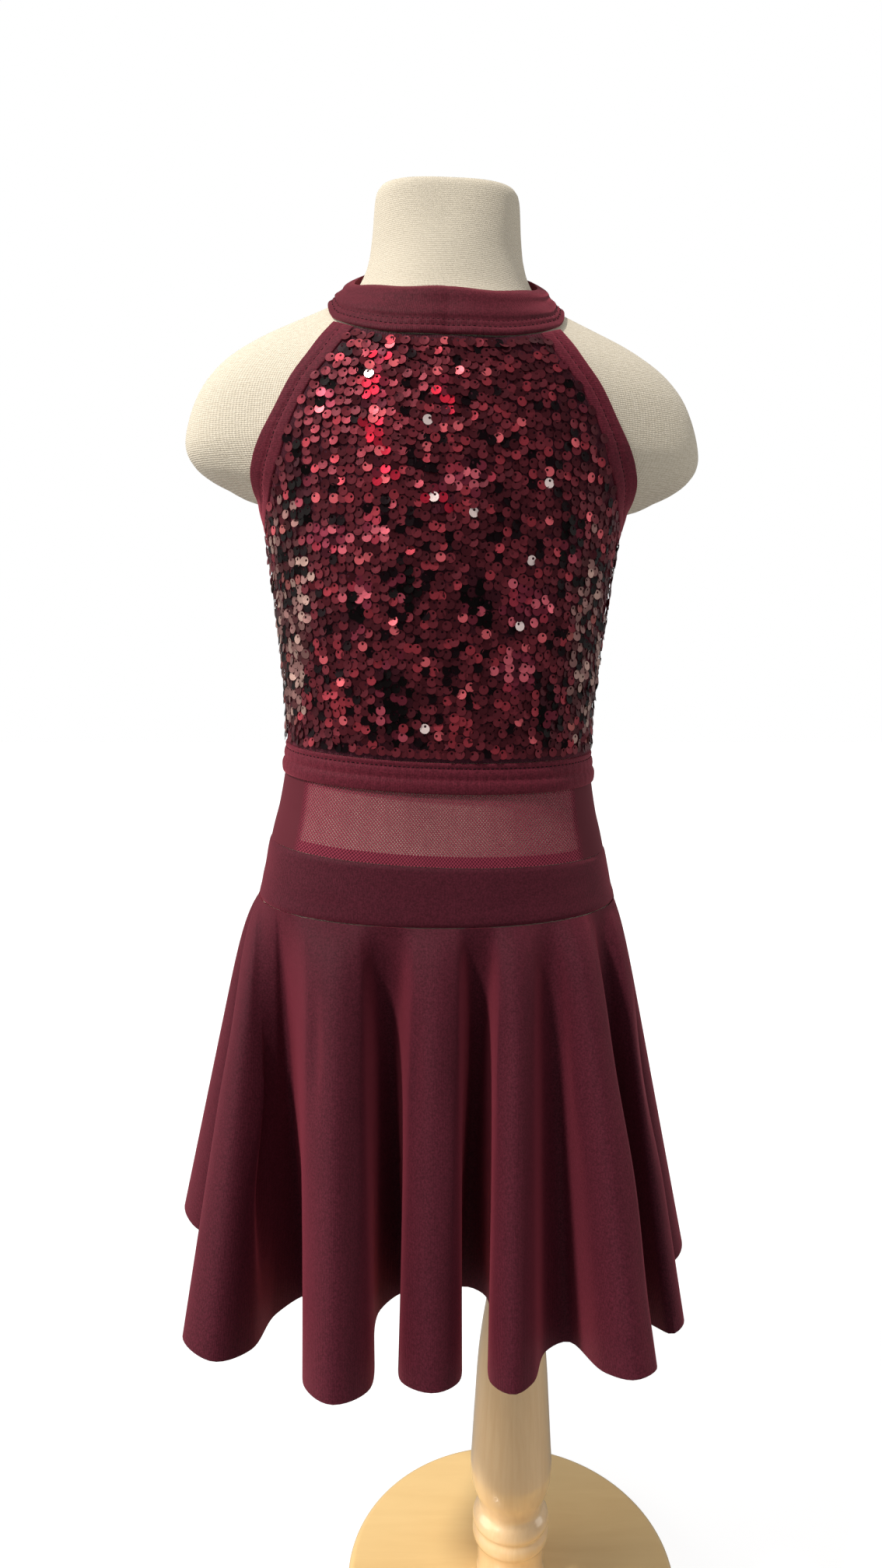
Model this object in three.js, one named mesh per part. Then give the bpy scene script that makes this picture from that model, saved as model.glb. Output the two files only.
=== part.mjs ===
// A child's jazz dance dress on a limbless dress form with a turned wooden stand.
// Millimetres, +Z up; the front faces -Y. The origin is the centre of the base's underside.
import * as THREE from 'three';

// The stand.
const BASE = { radius: 115.5, thickness: 24, edge: 5 };
const STEM_GAP = 0.3;

// The form stands a little off the stem's axis and is turned a little. It sways to its left as it
// rises, by a share of the height above or below its hips, and above the yoke it leans that way too,
// so its left side is lower by a share of the distance from its middle.
const FORM_PLACE = { x: -52.5, y: 6 };
const TURN = THREE.MathUtils.degToRad(1.5);
const SWAY = 0.016;
const HIP_HEIGHT = 512;
const LEAN = 0.027;

// Cloth thicknesses, and how far each wall's inside stands off the form.
const SEAM = 0.3;
const BODICE = { inside: 1.5, outside: 2.7 };
const BINDING = { inside: 1.5, outside: 3.6 };
const BAND = { inside: 1.0, outside: 3.8 };
const MESH = { inside: 0.9, outside: 1.9 };
const YOKE = { inside: 0.9, outside: 2.3 };
const COLLAR_WALL = 2.6;
const SKIRT_WALL = 1.3;
const SKIRT_EASE = 2.3;

// Level rings of the dress: height at the side, how much lower the front is, and the rise to +X.
const COLLAR_CLEARANCE = 0.8;
const BAND_TOP = { side: 614, dip: 4.5, rise: -0.6 };
const BAND_BOTTOM = { side: 595.3, dip: 4.6, rise: -0.7 };
const YOKE_TOP = { side: 552, dip: 4, rise: -1.2 };
const YOKE_BOTTOM = { side: 517.3, dip: 4.4, rise: -1 };

// Side seams of the bodice, in degrees from the centre front.
const SIDE_SEAM = 97;

// The skirt is cut as a full circle; every fold line is this long from seam to hem.
const SKIRT_LENGTH = 250;

// The torso and neck of the form: half width, depth in front and behind at each height, and how
// square the section is, where 2 is an ellipse.
const TORSO = [
  { z: 440, width: 98, front: 64, back: 72, square: 2.3 },
  { z: 470, width: 106, front: 73, back: 81, square: 2.3 },
  { z: 512, width: 113.5, front: 80, back: 88, square: 2.3 },
  { z: 526, width: 110.5, front: 79, back: 86, square: 2.3 },
  { z: 546, width: 106.5, front: 76.5, back: 80, square: 2.3 },
  { z: 560, width: 103.4, front: 74.5, back: 77, square: 2.3 },
  { z: 575, width: 99.6, front: 73, back: 74, square: 2.3 },
  { z: 600, width: 95.5, front: 72, back: 71.5, square: 2.3 },
  { z: 620, width: 93.8, front: 73, back: 72, square: 2.3 },
  { z: 641, width: 94.4, front: 75, back: 74, square: 2.3 },
  { z: 666, width: 96.6, front: 77, back: 77, square: 2.3 },
  { z: 690, width: 99.3, front: 79, back: 80, square: 2.3 },
  { z: 720, width: 103, front: 80.5, back: 83, square: 2.3 },
  { z: 739, width: 105.8, front: 80.5, back: 84, square: 2.3 },
  { z: 757, width: 109.2, front: 80, back: 84, square: 2.3 },
  { z: 775, width: 112, front: 78.5, back: 83, square: 2.3 },
  { z: 800, width: 111, front: 74.5, back: 80, square: 2.3 },
  { z: 825, width: 105, front: 69, back: 75, square: 2.3 },
  { z: 845, width: 91, front: 63.5, back: 69, square: 2.3 },
  { z: 857, width: 76, front: 59, back: 64, square: 2.3 },
  { z: 866, width: 65, front: 55, back: 60, square: 2.3 },
  { z: 874, width: 57, front: 51.5, back: 56.5, square: 2.3 },
  { z: 882, width: 52, front: 48, back: 53, square: 2.2 },
  { z: 893, width: 49, front: 45, back: 49.5, square: 2.1 },
  { z: 906, width: 46.6, front: 42, back: 46.5, square: 2.1 },
  { z: 920, width: 44.8, front: 38.5, back: 44, square: 2.4 },
  { z: 932, width: 43.9, front: 36, back: 42.5, square: 2.7 },
  { z: 939, width: 43.1, front: 34.5, back: 41.5, square: 2.9 },
  { z: 942.6, width: 41.6, front: 33, back: 39.5, square: 2.9 },
  { z: 944.6, width: 38.4, front: 30, back: 36, square: 2.9 },
  { z: 945.6, width: 31, front: 24, back: 29, square: 2.9 },
];

// The shoulder caps: how far they reach to each side, and their half depth, at each height.
const SHOULDER_CAPS = [
  { z: 740, reach: 30, depth: 12 },
  { z: 757, reach: 80, depth: 20 },
  { z: 763, reach: 117, depth: 26 },
  { z: 766, reach: 124, depth: 30 },
  { z: 771, reach: 137, depth: 35 },
  { z: 776, reach: 146, depth: 39 },
  { z: 780, reach: 151, depth: 41 },
  { z: 787, reach: 156, depth: 44 },
  { z: 796, reach: 157.5, depth: 46.5 },
  { z: 812, reach: 154, depth: 48 },
  { z: 826, reach: 148, depth: 48 },
  { z: 837, reach: 140, depth: 46 },
  { z: 847, reach: 129, depth: 43 },
  { z: 857, reach: 113, depth: 39 },
  { z: 866, reach: 94, depth: 34 },
  { z: 874, reach: 76, depth: 29 },
  { z: 880, reach: 63, depth: 25 },
  { z: 886, reach: 52, depth: 21 },
  { z: 893, reach: 44, depth: 18 },
  { z: 906, reach: 30, depth: 14 },
];

// Heights of the rings that the form's solid is made of.
const FORM_LEVELS = [
  440, 475, 512, 530, 550, 575, 600, 630, 665, 700, 735, 750, 759, 764, 769, 774, 780, 788, 798, 812,
  826, 837, 847, 857, 866, 874, 881, 888, 896, 908, 920, 932, 939, 942.6, 944.6, 945.6,
];
const FORM_TOP = 946;
const FORM_COLUMNS = 52;
const FORM_BLEND = 8;
const CLOTH_BLEND = 5.5;
const CAP_SQUARE = 2.4;

// Columns round a plain tube of cloth, and rows up each cloth wall.
const TUBE_COLUMNS = 48;
const TUBE_ROWS = 2;
const BINDING_ROWS = 3;
const PANEL_ROWS = 8;
const PANEL_NECK_COLUMNS = 5;
// How far a bodice panel stops short of the binding, and of the underarm at its side seam.
const PANEL_GAP = 0.75;
const UNDERARM_GAP = 1.5;

// The armhole binding's two edges on the front half, from the collar down to the underarm.
const ARMHOLE = [
  { outerDeg: 55.3, outerZ: 859, innerDeg: 43.7, innerZ: 852 },
  { outerDeg: 55.6, outerZ: 843, innerDeg: 47, innerZ: 838 },
  { outerDeg: 58, outerZ: 827, innerDeg: 51, innerZ: 824 },
  { outerDeg: 60.7, outerZ: 811, innerDeg: 54.2, innerZ: 809.5 },
  { outerDeg: 63.7, outerZ: 798, innerDeg: 56.8, innerZ: 796 },
  { outerDeg: 67, outerZ: 786, innerDeg: 59.3, innerZ: 782.5 },
  { outerDeg: 71, outerZ: 773.5, innerDeg: 64, innerZ: 769 },
  { outerDeg: 77.5, outerZ: 760, innerDeg: 71.5, innerZ: 754 },
  { outerDeg: 85, outerZ: 752, innerDeg: 80.5, innerZ: 742 },
  { outerDeg: 92, outerZ: 749, innerDeg: 92, innerZ: 737 },
];
const ARMHOLE_STEPS = 14;
const UNDERARM = 92;

// The rolled collar's lower and upper edges round half the neck, from the centre front to the back.
const COLLAR = [
  { deg: 0, lowZ: 848.3, lowR: 67, highZ: 877, highR: 54 },
  { deg: 30, lowZ: 850, lowR: 73.2, highZ: 878, highR: 56.2 },
  { deg: 60, lowZ: 862, lowR: 76.5, highZ: 884, highR: 57.5 },
  { deg: 75, lowZ: 874.5, lowR: 73.5, highZ: 888.5, highR: 57.7 },
  { deg: 90, lowZ: 881.5, lowR: 68.3, highZ: 894.5, highR: 57 },
  { deg: 105, lowZ: 883.5, lowR: 64, highZ: 902, highR: 55.5 },
  { deg: 120, lowZ: 884, lowR: 61, highZ: 908, highR: 53.5 },
  { deg: 150, lowZ: 884, lowR: 58.5, highZ: 914, highR: 51 },
  { deg: 180, lowZ: 884, lowR: 57, highZ: 916, highR: 49.8 },
];
// The collar's outer profile: share of the way up, and how far it stands proud there.
const COLLAR_PROFILE = [
  { up: 0, proud: -0.9 },
  { up: 0.06, proud: 0.3 },
  { up: 0.16, proud: 0.4 },
  { up: 0.26, proud: -0.2 },
  { up: 0.45, proud: 1.3 },
  { up: 0.7, proud: 2.2 },
  { up: 0.9, proud: 1.3 },
  { up: 1, proud: -0.6 },
];
const COLLAR_COLUMNS = 44;

// The skirt's folds at the hem, round from the left front: the fold's left shoulder, its tip and its
// right shoulder, then the two ends of the valley after it, the angles of tip and valley up at the
// seam, and how far the fold springs out under the seam as a share of its flare.
const FOLDS = [
  { left: [-147, -112], tip: [-126, -134], right: [-107, -116],
    valley: [-97, -76], turn: [-79, -57], tipDeg: -80, valleyDeg: -65, spring: 0.13 },
  { left: [-72, -153], tip: [-55, -175], right: [-37, -156],
    valley: [-33, -70], turn: [-17, -54], tipDeg: -40, valleyDeg: -23, spring: 0.15 },
  { left: [-19, -146], tip: [-2, -161], right: [13, -147],
    valley: [18, -49], turn: [34, -56], tipDeg: 0, valleyDeg: 15, spring: 0.15 },
  { left: [31, -148], tip: [42, -163], right: [54, -150],
    valley: [66, -114], turn: [80, -106], tipDeg: 31, valleyDeg: 40, spring: 0.15 },
  { left: [95, -146], tip: [109, -161], right: [123, -150],
    valley: [109, -82], turn: [118, -74], tipDeg: 51, valleyDeg: 62, spring: 0.14 },
  { left: [133, -100], tip: [141, -112], right: [151, -98],
    valley: [118, -48], turn: [120, -34], tipDeg: 72, valleyDeg: 82, spring: 0.11 },
  { left: [159, -34], tip: [171, -12], right: [165, 12],
    valley: [117, 30], turn: [114, 46], tipDeg: 96, valleyDeg: 109, spring: 0.11 },
  { left: [152, 66], tip: [144, 96], right: [120, 110],
    valley: [88, 76], turn: [76, 88], tipDeg: 125, valleyDeg: 138, spring: 0.15 },
  { left: [86, 146], tip: [62, 164], right: [38, 154],
    valley: [27, 98], turn: [12, 100], tipDeg: 155, valleyDeg: 171, spring: 0.15 },
  { left: [4, 158], tip: [-20, 172], right: [-42, 158],
    valley: [-39, 100], turn: [-54, 96], tipDeg: 187, valleyDeg: 201, spring: 0.15 },
  { left: [-76, 142], tip: [-100, 148], right: [-118, 126],
    valley: [-98, 78], turn: [-106, 64], tipDeg: 217, valleyDeg: 230, spring: 0.2 },
  { left: [-160, 64], tip: [-176, 40], right: [-165, 13],
    valley: [-115, -14], turn: [-113, -34], tipDeg: 252, valleyDeg: 265, spring: 0.24 },
];
const FOLD_STEPS = { flank: 4, tip: 3, valley: 2 };
const VALLEY_DEGREES = 2.5;
// Shares of the way down the skirt where its solid has a ring.
const SKIRT_LEVELS = [0, 0.05, 0.14, 0.3, 0.6, 1];
// The share of the way down over which a fold springs out, how slowly a valley sinks in, and the
// flare that has the full effect.
const FOLD_SPRING = { reach: 0.07, sink: 0.35, full: 60 };

const CLOTH = { color: 0x6f2f3d, roughness: 0.75, metalness: 0 };
const TRIM = { color: 0x6b2440, roughness: 0.7, metalness: 0 };
const SEQUIN_GROUND = { color: 0x5a1828, roughness: 0.35, metalness: 0.4 };
const NET = { color: 0x8a5a5e, roughness: 0.8, metalness: 0 };
const LINEN = { color: 0xe2dac8, roughness: 0.9, metalness: 0 };
const WOOD = { color: 0xe6bd80, roughness: 0.3, metalness: 0 };

const radians = THREE.MathUtils.degToRad;

// A smooth value from a table: rows[i][key] at rows[i][by], eased between rows.
function tableValue(rows, by, key, at) {
  const last = rows.length - 1;
  const x = Math.min(Math.max(at, rows[0][by]), rows[last][by]);
  let i = 0;
  while (i < last - 1 && x > rows[i + 1][by]) i += 1;
  const slope = (k) => {
    const low = rows[Math.max(k - 1, 0)];
    const high = rows[Math.min(k + 1, last)];
    return (high[key] - low[key]) / (high[by] - low[by]);
  };
  const span = rows[i + 1][by] - rows[i][by];
  const t = (x - rows[i][by]) / span;
  const start = (1 + 2 * t) * (1 - t) * (1 - t) * rows[i][key];
  const end = t * t * (3 - 2 * t) * rows[i + 1][key];
  const lean = t * (1 - t) * ((1 - t) * slope(i) - t * slope(i + 1)) * span;
  return start + end + lean;
}

// Distance from the centre to a rounded oval, at an angle from the front.
function ovalRadius(angle, width, depth, square) {
  const across = Math.abs(Math.sin(angle) / width) ** square;
  const along = Math.abs(Math.cos(angle) / depth) ** square;
  return (across + along) ** (-1 / square);
}

// Distance from the form's centre line to its surface: the torso oval blended with the shoulder caps.
// A lower blend rounds the hollow between them more, as cloth does where it bridges it.
function formRadius(angle, z, blend = FORM_BLEND) {
  const depth = tableValue(TORSO, 'z', Math.cos(angle) > 0 ? 'front' : 'back', z);
  const square = tableValue(TORSO, 'z', 'square', z);
  const torso = ovalRadius(angle, tableValue(TORSO, 'z', 'width', z), depth, square);
  const first = SHOULDER_CAPS[0].z;
  const last = SHOULDER_CAPS[SHOULDER_CAPS.length - 1].z;
  if (z <= first || z >= last) return torso;
  const reach = tableValue(SHOULDER_CAPS, 'z', 'reach', z);
  const cap = ovalRadius(angle, reach, tableValue(SHOULDER_CAPS, 'z', 'depth', z), CAP_SQUARE);
  return (torso ** blend + cap ** blend) ** (1 / blend);
}

// A point of the form or the dress, moved aside by the sway and down by the lean, which grows from
// nothing at the skirt's seam to its full share at the top of the yoke.
function swayed(x, y, z) {
  const up = (z - YOKE_BOTTOM.side) / (YOKE_TOP.side - YOKE_BOTTOM.side);
  const lean = LEAN * THREE.MathUtils.clamp(up, 0, 1);
  return new THREE.Vector3(x + SWAY * (z - HIP_HEIGHT), y, z - lean * x);
}

// A point at an angle from the front, a radius and a height.
function polar(angle, radius, z) {
  return swayed(radius * Math.sin(angle), -radius * Math.cos(angle), z);
}

// A point of the cloth's own surface over the form, moved out.
function onDress(angle, z, out) {
  return polar(angle, formRadius(angle, z, CLOTH_BLEND) + out, z);
}

function levelAt(ring, angle) {
  return ring.side - ring.dip * Math.cos(angle) + ring.rise * Math.sin(angle);
}

function mix(a, b, t) {
  return a + (b - a) * t;
}

function steps(count) {
  return Array.from({ length: count + 1 }, (unused, i) => i / count);
}

function solid(name, points, faces, look) {
  const geometry = new THREE.BufferGeometry();
  const positions = new Float32Array(points.flatMap((p) => [p.x, p.y, p.z]));
  geometry.setAttribute('position', new THREE.BufferAttribute(positions, 3));
  geometry.setIndex(faces);
  geometry.computeVertexNormals();
  const mesh = new THREE.Mesh(geometry, new THREE.MeshStandardMaterial(look));
  mesh.name = name;
  return mesh;
}

function quad(faces, a, b, c, d) {
  faces.push(a, b, c, a, c, d);
}

// A wall of cloth between two grids of points. Rows run up and columns run towards +X at the front;
// a round wall joins its last column to its first, and an open one has a rim at each side.
function clothWall(name, outside, inside, isRound, look) {
  const rows = outside.length;
  const columns = outside[0].length;
  const points = [...outside.flat(), ...inside.flat()];
  const out = (i, j) => i * columns + (j % columns);
  const inn = (i, j) => rows * columns + out(i, j);
  const faces = [];
  const spans = isRound ? columns : columns - 1;
  for (let j = 0; j < spans; j += 1) {
    for (let i = 0; i < rows - 1; i += 1) {
      quad(faces, out(i, j), out(i, j + 1), out(i + 1, j + 1), out(i + 1, j));
      quad(faces, inn(i, j), inn(i + 1, j), inn(i + 1, j + 1), inn(i, j + 1));
    }
    quad(faces, inn(0, j), inn(0, j + 1), out(0, j + 1), out(0, j));
    quad(faces, out(rows - 1, j), out(rows - 1, j + 1), inn(rows - 1, j + 1), inn(rows - 1, j));
  }
  if (!isRound) {
    for (let i = 0; i < rows - 1; i += 1) {
      quad(faces, out(i, 0), out(i + 1, 0), inn(i + 1, 0), inn(i, 0));
      const j = columns - 1;
      quad(faces, inn(i, j), inn(i + 1, j), out(i + 1, j), out(i, j));
    }
  }
  return solid(name, points, faces, look);
}

function formPoint(angle, z) {
  return polar(angle, formRadius(angle, z), z);
}

// The form is one smooth closed solid of level rings, with a flat underside and a domed neck.
function dressForm() {
  const points = [];
  const faces = [];
  const n = FORM_COLUMNS;
  for (const z of FORM_LEVELS) {
    for (let j = 0; j < n; j += 1) points.push(formPoint((2 * Math.PI * j) / n, z));
  }
  for (let i = 0; i < FORM_LEVELS.length - 1; i += 1) {
    for (let j = 0; j < n; j += 1) {
      const next = (j + 1) % n;
      quad(faces, i * n + j, i * n + next, (i + 1) * n + next, (i + 1) * n + j);
    }
  }
  const bottom = points.length;
  points.push(swayed(0, 0, FORM_LEVELS[0]));
  const top = points.length;
  points.push(swayed(0, 0, FORM_TOP));
  const crown = (FORM_LEVELS.length - 1) * n;
  for (let j = 0; j < n; j += 1) {
    const next = (j + 1) % n;
    faces.push(bottom, next, j);
    faces.push(top, crown + j, crown + next);
  }
  return solid('dress_form', points, faces, LINEN);
}

// A tube of cloth round the form between two level rings.
function clothTube(name, low, high, wall, look) {
  const angles = steps(TUBE_COLUMNS).slice(0, -1).map((t) => 2 * Math.PI * t);
  const grid = (out) => steps(TUBE_ROWS).map((up) => angles.map((angle) => {
    const z = mix(levelAt(low, angle) + SEAM / 2, levelAt(high, angle) - SEAM / 2, up);
    return onDress(angle, z, out);
  }));
  return clothWall(name, grid(wall.outside), grid(wall.inside), true, look);
}

// The collar's lower or upper edge, its height or its radius, at an angle from the front.
function collarEdge(key, angle) {
  const degrees = Math.abs(THREE.MathUtils.radToDeg(Math.atan2(Math.sin(angle), Math.cos(angle))));
  return tableValue(COLLAR, 'deg', key, degrees);
}

function collar() {
  const angles = steps(COLLAR_COLUMNS).slice(0, -1).map((t) => 2 * Math.PI * t);
  const edgePoint = (angle, up, out) => {
    const z = mix(collarEdge('lowZ', angle), collarEdge('highZ', angle), up);
    const r = mix(collarEdge('lowR', angle), collarEdge('highR', angle), up);
    return polar(angle, r + out, z);
  };
  const outside = COLLAR_PROFILE.map((row) => angles.map((angle) => edgePoint(angle, row.up, row.proud)));
  const inside = COLLAR_PROFILE.map((row) => angles.map((angle) => edgePoint(angle, row.up, -COLLAR_WALL)));
  return clothWall('collar', outside, inside, true, CLOTH);
}

// The armhole's edges on one half of the body, as stations from the front of the collar under the arm
// to the back of the collar. The back half mirrors the front and is stretched up to the collar.
function armholeStations() {
  const rows = ARMHOLE.map((row, i) => ({ ...row, at: i }));
  const last = rows.length - 1;
  const under = rows[last];
  const station = (along, isBack) => {
    const row = {};
    for (const key of ['outerDeg', 'outerZ', 'innerDeg', 'innerZ']) row[key] = tableValue(rows, 'at', key, along);
    if (isBack) {
      row.outerDeg = 2 * UNDERARM - row.outerDeg;
      row.innerDeg = 2 * UNDERARM - row.innerDeg;
    }
    for (const side of ['outer', 'inner']) {
      const top = ARMHOLE[0][side + 'Z'];
      const degrees = isBack ? 2 * UNDERARM - ARMHOLE[0][side + 'Deg'] : ARMHOLE[0][side + 'Deg'];
      const reach = collarEdge('lowZ', radians(degrees)) - COLLAR_CLEARANCE - under[side + 'Z'];
      const stretch = reach / (top - under[side + 'Z']);
      row[side + 'Z'] = under[side + 'Z'] + (row[side + 'Z'] - under[side + 'Z']) * stretch;
    }
    return row;
  };
  const along = steps(ARMHOLE_STEPS).map((t) => t * last);
  const front = along.map((t) => station(t, false));
  const back = along.slice(0, -1).reverse().map((t) => station(t, true));
  return [...front, ...back];
}
const STATIONS = armholeStations();

// One binding strip round an armhole; its rows run from the inner edge to the outer edge.
function armholeBinding(name, side) {
  const rowsOf = (out) => steps(BINDING_ROWS).map((across) => STATIONS.map((row) => {
    const degrees = mix(row.innerDeg, row.outerDeg, across);
    const z = mix(row.innerZ, row.outerZ, across) + SEAM / 2;
    return onDress(side * radians(degrees), z, out);
  }));
  const outside = rowsOf(BINDING.outside);
  const inside = rowsOf(BINDING.inside);
  if (side < 0) {
    for (const row of [...outside, ...inside]) row.reverse();
  }
  return clothWall(name, outside, inside, false, TRIM);
}

// Half of a panel's columns: angle and top height, from the centre line to the side seam.
function panelColumns(isBack) {
  const fold = (degrees) => (isBack ? 180 - degrees : degrees);
  const seamDeg = isBack ? SIDE_SEAM + 0.1 : SIDE_SEAM - 0.1;
  const half = STATIONS.filter((row) => (isBack ? row.innerDeg > seamDeg : row.innerDeg < seamDeg));
  const start = fold((isBack ? half[half.length - 1] : half[0]).innerDeg);
  const columns = steps(PANEL_NECK_COLUMNS).slice(0, -1).map((t) => {
    const degrees = fold(start * t);
    return { degrees, top: collarEdge('lowZ', radians(degrees)) - COLLAR_CLEARANCE };
  });
  const armhole = half.map((row) => ({ degrees: row.innerDeg, top: row.innerZ - PANEL_GAP }));
  if (isBack) armhole.reverse();
  const lowest = Math.min(...half.map((row) => row.innerZ)) - UNDERARM_GAP;
  return [...columns, ...armhole, { degrees: seamDeg, top: lowest }];
}

function bodicePanel(name, isBack, look) {
  const half = panelColumns(isBack);
  const mirrored = half.slice(1).reverse().map((row) => ({ degrees: -row.degrees, top: row.top }));
  const columns = [...mirrored, ...half];
  if (isBack) columns.reverse();
  const turnTo = (degrees) => radians(isBack && degrees < 0 ? degrees + 360 : degrees);
  const sorted = columns.map((row) => ({ angle: turnTo(row.degrees), top: row.top }));
  sorted.sort((a, b) => a.angle - b.angle);
  const grid = (out) => steps(PANEL_ROWS).map((up) => sorted.map((column) => {
    const low = levelAt(BAND_TOP, column.angle) + SEAM / 2;
    return onDress(column.angle, mix(low, column.top, up), out);
  }));
  return clothWall(name, grid(BODICE.outside), grid(BODICE.inside), false, look);
}

// The skirt's columns: the angle at the seam and the point that the fold line reaches at the hem.
function skirtColumns() {
  const hemPoints = FOLDS.flatMap((fold) => [fold.left, fold.tip, fold.right, fold.valley, fold.turn]);
  const curve = new THREE.CatmullRomCurve3(
    hemPoints.map(([x, y]) => new THREE.Vector3(x, y, 0)), true, 'centripetal');
  const columns = [];
  const spans = hemPoints.length;
  FOLDS.forEach((fold, i) => {
    const before = i === 0 ? FOLDS[FOLDS.length - 1].valleyDeg - 360 : FOLDS[i - 1].valleyDeg;
    const from = before + VALLEY_DEGREES;
    const leftDeg = mix(from, fold.tipDeg, 0.6);
    const rightDeg = mix(fold.tipDeg, fold.valleyDeg, 0.4);
    const parts = [
      { count: FOLD_STEPS.flank, start: from, end: leftDeg },
      { count: FOLD_STEPS.tip, start: leftDeg, end: fold.tipDeg },
      { count: FOLD_STEPS.tip, start: fold.tipDeg, end: rightDeg },
      { count: FOLD_STEPS.flank, start: rightDeg, end: fold.valleyDeg },
      { count: FOLD_STEPS.valley, start: fold.valleyDeg, end: fold.valleyDeg + VALLEY_DEGREES },
    ];
    parts.forEach((part, k) => {
      const span = (parts.length * i + k - 1 + spans) % spans;
      for (let s = 0; s < part.count; s += 1) {
        const t = s / part.count;
        const hem = curve.getPoint((span + t) / spans);
        columns.push({
          angle: radians(mix(part.start, part.end, t)), spring: fold.spring, hem: new THREE.Vector2(hem.x, hem.y),
        });
      }
    });
  });
  return columns;
}

// One point of the skirt's middle surface, a share of the way down its fold line. A fold springs
// out just under the seam, and a valley starts more slowly.
function skirtPoint(column, down) {
  const seamZ = levelAt(YOKE_BOTTOM, column.angle) - SEAM / 2;
  const ring = formRadius(column.angle, seamZ) + SKIRT_EASE;
  const flare = column.hem.length() - ring;
  const outward = THREE.MathUtils.clamp(flare / FOLD_SPRING.full, -1, 1);
  const sprung = (1 - Math.exp(-down / FOLD_SPRING.reach)) * (1 - down);
  const share = down ** (1 + FOLD_SPRING.sink * Math.max(-outward, 0))
    + column.spring * Math.max(outward, 0) * sprung;
  const x = mix(ring * Math.sin(column.angle), column.hem.x, share);
  const y = mix(-ring * Math.cos(column.angle), column.hem.y, share);
  return swayed(x, y, seamZ - Math.sqrt(SKIRT_LENGTH ** 2 - flare ** 2) * down);
}

function skirt() {
  const columns = skirtColumns();
  const count = columns.length;
  const middle = SKIRT_LEVELS.map((down) => columns.map((column) => skirtPoint(column, down))).reverse();
  const moved = (out) => middle.map((row) => row.map((point, j) => {
    const next = row[(j + 1) % count];
    const last = row[(j + count - 1) % count];
    const side = new THREE.Vector2(next.y - last.y, last.x - next.x).normalize();
    return new THREE.Vector3(point.x + side.x * out, point.y + side.y * out, point.z);
  }));
  return clothWall('skirt', moved(SKIRT_WALL / 2), moved(-SKIRT_WALL / 2), true, CLOTH);
}

function turned(name, profile, segments, look) {
  const points = profile.map(([radius, z]) => new THREE.Vector2(radius, z));
  const geometry = new THREE.LatheGeometry(points, segments);
  geometry.rotateX(Math.PI / 2);
  const mesh = new THREE.Mesh(geometry, new THREE.MeshStandardMaterial(look));
  mesh.name = name;
  return mesh;
}

// The turned stem: a foot shaft, two rings, a long baluster and a plain shaft up to the form.
function stem() {
  const low = BASE.thickness + STEM_GAP;
  const top = FORM_LEVELS[0] - STEM_GAP;
  return turned('form_stem', [
    [0, low], [24, low], [23.2, low + 4], [23.4, 40], [24.6, 47], [26.6, 51], [26.8, 56], [25.4, 60], [26.9, 64],
    [25.6, 69], [22, 73.5], [22.8, 79], [26.4, 89], [28.2, 99], [28.4, 107], [27.6, 120], [25.8, 152],
    [23.6, 188], [20.9, 211], [18.3, 228], [16, 246], [14.6, 270], [14, 300], [14, top], [0, top],
  ], 24, WOOD);
}

function base() {
  const { radius, thickness, edge } = BASE;
  const round = (centre, start) => steps(3).map((t) => {
    const angle = start + (t * Math.PI) / 2;
    return [radius - edge + edge * Math.cos(angle), centre + edge * Math.sin(angle)];
  });
  return turned('form_base', [
    [0, 0], ...round(edge, -Math.PI / 2), ...round(thickness - edge, 0), [0, thickness],
  ], 40, WOOD);
}

// The form and the dress share one place: off the stem's axis and turned.
const dressed = new THREE.Group();
dressed.position.set(FORM_PLACE.x, FORM_PLACE.y, 0);
dressed.rotation.z = TURN;
dressed.add(dressForm());
dressed.add(collar());
dressed.add(bodicePanel('bodice_front', false, SEQUIN_GROUND));
dressed.add(bodicePanel('bodice_back', true, CLOTH));
dressed.add(armholeBinding('armhole_binding_left', 1));
dressed.add(armholeBinding('armhole_binding_right', -1));
dressed.add(clothTube('waist_band', BAND_BOTTOM, BAND_TOP, BAND, TRIM));
dressed.add(clothTube('midriff_mesh', YOKE_TOP, BAND_BOTTOM, MESH, NET));
dressed.add(clothTube('yoke', YOKE_BOTTOM, YOKE_TOP, YOKE, CLOTH));
dressed.add(skirt());

const part = new THREE.Group();
part.add(base());
part.add(stem());
part.add(dressed);
export default part;
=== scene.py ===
import math
import random
from collections import namedtuple

import bmesh
import bpy
import numpy as np
from mathutils import Matrix, Vector, noise


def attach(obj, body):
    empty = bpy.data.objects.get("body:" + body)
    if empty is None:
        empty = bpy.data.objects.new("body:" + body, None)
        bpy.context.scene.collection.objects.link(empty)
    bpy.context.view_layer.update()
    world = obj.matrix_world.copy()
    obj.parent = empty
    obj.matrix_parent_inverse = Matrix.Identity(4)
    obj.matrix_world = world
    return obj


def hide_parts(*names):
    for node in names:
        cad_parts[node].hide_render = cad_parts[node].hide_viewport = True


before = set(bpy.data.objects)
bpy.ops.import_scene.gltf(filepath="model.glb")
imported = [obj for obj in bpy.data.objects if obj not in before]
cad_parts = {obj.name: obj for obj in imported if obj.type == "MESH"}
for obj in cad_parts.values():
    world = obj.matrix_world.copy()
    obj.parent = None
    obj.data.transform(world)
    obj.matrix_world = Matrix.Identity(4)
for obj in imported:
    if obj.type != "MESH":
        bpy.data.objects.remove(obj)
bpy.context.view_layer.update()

MM = 0.001
BODY = "root"

# The camera looks slightly down at the dress from close by, with the photograph's tall frame.
CAMERA = {"place": (-0.0494, -0.694, 0.685), "tilt": 82.0, "lens": 25.0, "sensor": 36.0}

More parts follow.
